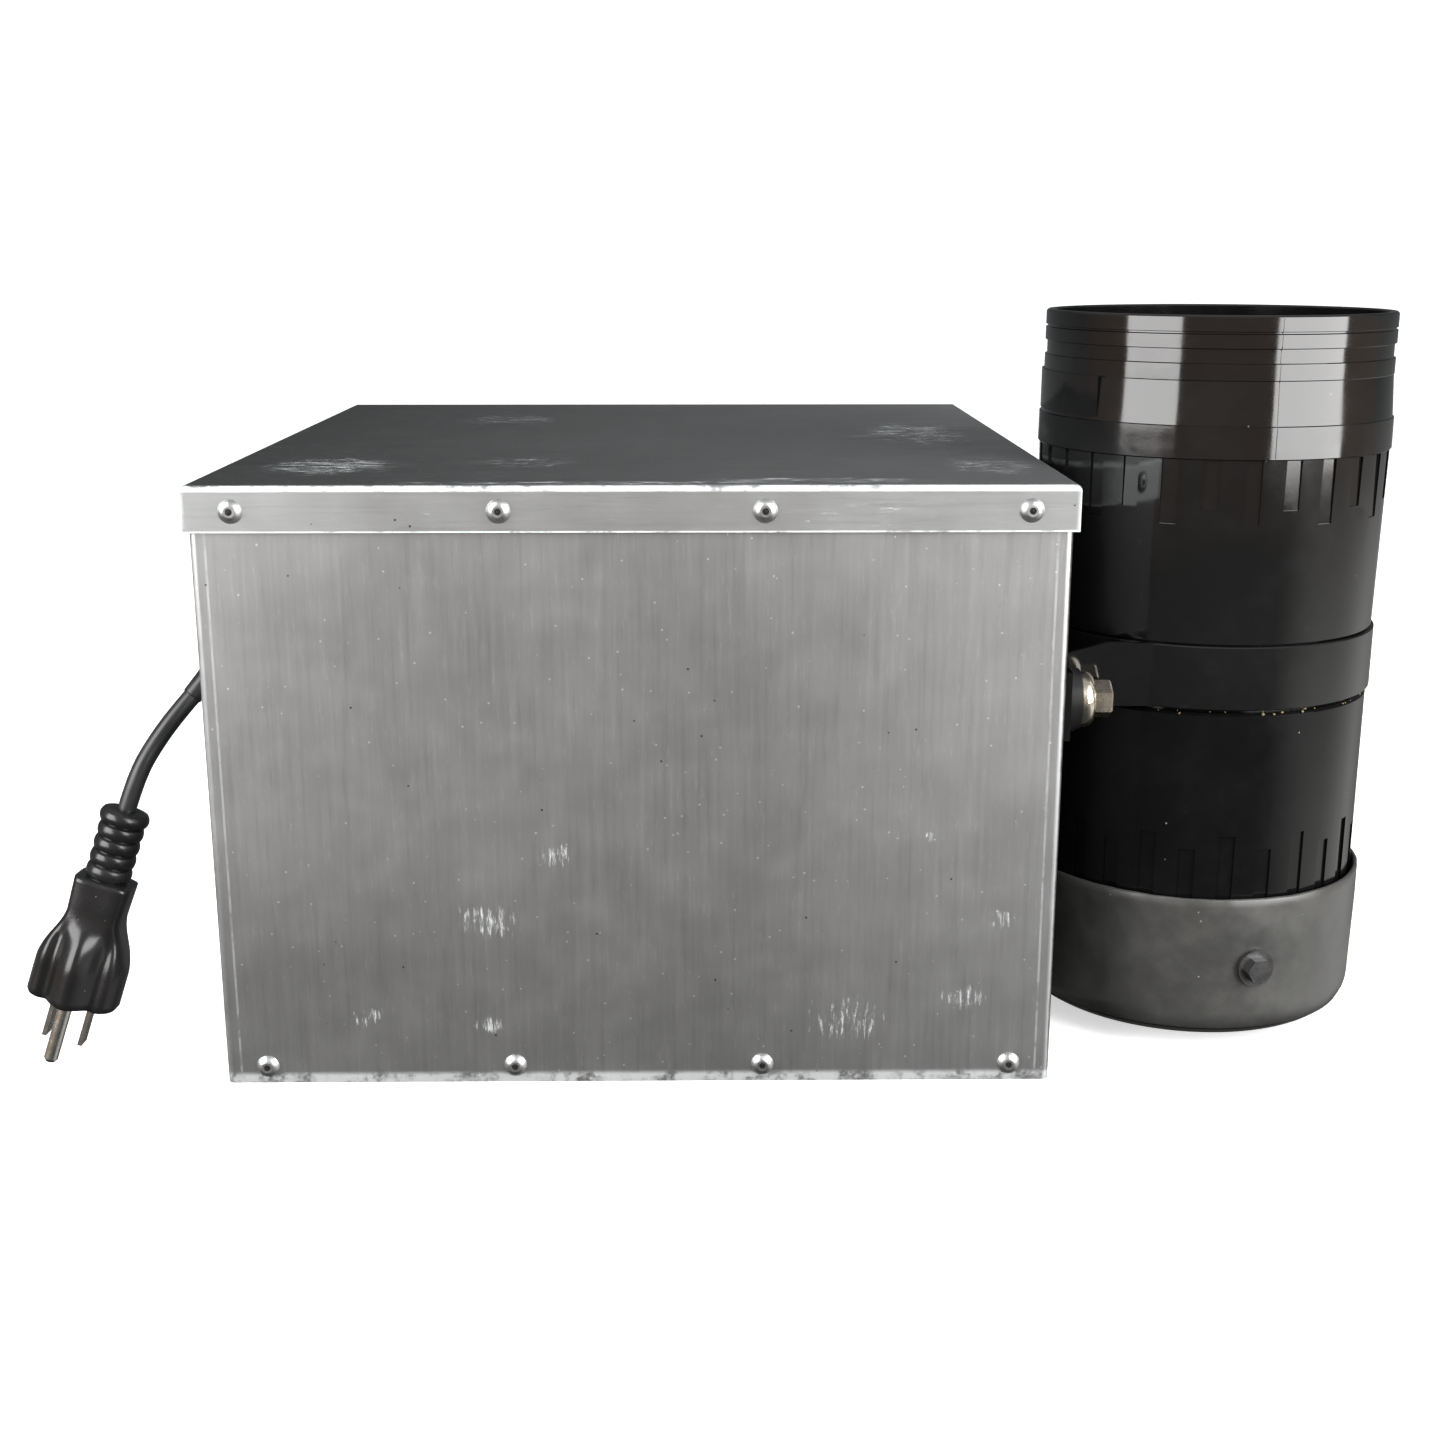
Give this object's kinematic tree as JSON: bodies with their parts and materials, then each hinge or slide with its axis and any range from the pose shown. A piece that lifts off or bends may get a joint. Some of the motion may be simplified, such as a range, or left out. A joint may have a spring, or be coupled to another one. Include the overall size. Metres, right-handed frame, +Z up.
{
  "type": "uv clarifier",
  "caption": "Galvanised ballast box with a riveted lid, a strapped-on open-topped black lamp housing holding a lift-out ultraviolet lamp cartridge, and a short mains lead with a plug.",
  "frame": {"origin": "on the floor plane under the middle of the box and housing together, without the lead and plug", "axes": "+X from the box towards the lamp housing, +Y from the front face to the back, +Z up"},
  "size_m": [0.4765, 0.3036, 0.254],
  "materials": {
    "galvanised": "spangled satin galvanised sheet",
    "rivet_metal": "dull domed rivet",
    "housing_plastic": "glossy black moulding",
    "cap_rubber": "satin black elastomer",
    "cord_rubber": "satin black jacket",
    "plug_rubber": "moulded black vinyl",
    "pin_metal": "nickel plated",
    "bolt_nickel": "warm nickel plated",
    "black_steel": "black oxide",
    "black_nylon": "moulded nylon",
    "zinc": "zinc plated",
    "ballast_case": "dark enamelled can",
    "terminal_plastic": "ivory moulding",
    "brass": "plain",
    "wire_vinyl": "vinyl insulation",
    "holder_plastic": "off-white moulding",
    "quartz": "clear quartz",
    "lamp_glass": "clear lamp tube",
    "seal_rubber": "dark red silicone"
  },
  "bodies": {
    "clarifier": {"ballast": "ballast_case", "ballast_leads": "wire_vinyl", "ballast_screws": "zinc", "base_rivets": "rivet_metal", "bottom_pan": "galvanised", "cap_screws": "black_steel", "clamp_strap": "housing_plastic", "cord_gland": "black_nylon", "end_cap": "cap_rubber", "gland_nut": "black_nylon", "ground_stud": "zinc", "housing_collar": "housing_plastic", "lamp_holder": "holder_plastic", "lamp_lead": "cord_rubber", "lead_bushing": "seal_rubber", "lid": "galvanised", "lid_rivets": "rivet_metal", "lower_housing": "housing_plastic", "plug_blades": "pin_metal", "plug_body": "plug_rubber", "plug_ground_pin": "pin_metal", "power_cord": "cord_rubber", "seam_plate": "galvanised", "seam_rivets": "rivet_metal", "strap_bolts": "bolt_nickel", "strap_bushes": "black_nylon", "strap_nuts": "zinc", "strap_washers": "bolt_nickel", "supply_leads": "wire_vinyl", "terminal_block": "terminal_plastic", "terminal_screws": "brass", "upper_housing": "housing_plastic", "wall_wrap": "galvanised"},
    "lamp_cartridge": {"quartz_sleeve": "quartz", "uv_lamp": "lamp_glass", "lamp_base": "holder_plastic", "lamp_pins": "brass", "sleeve_collar": "black_nylon", "sleeve_seals": "seal_rubber", "pull_cap": "cap_rubber"}
  },
  "joints": [
    {"name": "lamp_lift", "type": "slide", "parent": "clarifier", "child": "lamp_cartridge", "axis": [0, 0, 1], "range_m": [0, 0.19]}
  ]
}
